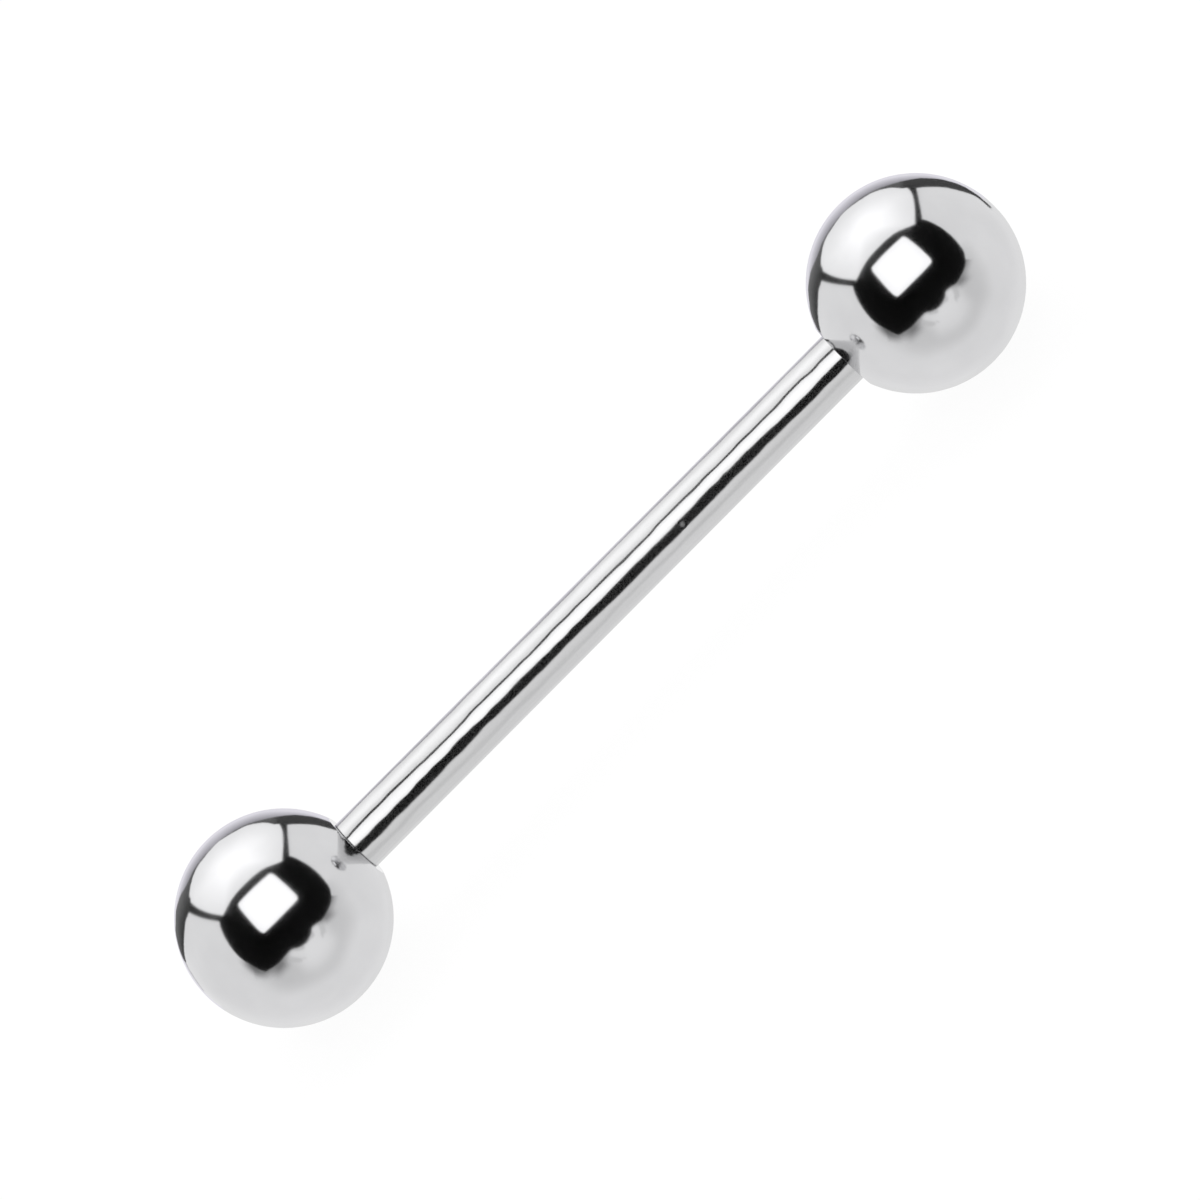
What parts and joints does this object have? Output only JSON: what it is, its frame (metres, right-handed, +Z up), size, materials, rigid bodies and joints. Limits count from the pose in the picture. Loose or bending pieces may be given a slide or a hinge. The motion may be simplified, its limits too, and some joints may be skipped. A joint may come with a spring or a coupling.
{
  "type": "tongue barbell",
  "caption": "Straight polished steel piercing barbell: a round bar between two screw-on balls, lying on its balls.",
  "frame": {"origin": "on the surface that the barbell lies on, below the middle of the bar", "axes": "+X along the bar towards ball_right, the ball at the upper right of the picture; +Z up from the surface; the picture looks along +Y, down at the barbell"},
  "size_m": [0.0304, 0.006, 0.006],
  "materials": {
    "bar_steel": "polished",
    "ball_steel": "polished"
  },
  "bodies": {
    "bar": {"bar": "bar_steel"},
    "ball_left": {"ball_left": "ball_steel"},
    "ball_right": {"ball_right": "ball_steel"}
  },
  "joints": [
    {"name": "ball_left_unscrew", "type": "slide", "parent": "bar", "child": "ball_left", "axis": [-1, 0, 0], "range_m": [0, 0.012]},
    {"name": "ball_right_unscrew", "type": "slide", "parent": "bar", "child": "ball_right", "axis": [1, 0, 0], "range_m": [0, 0.012]}
  ]
}
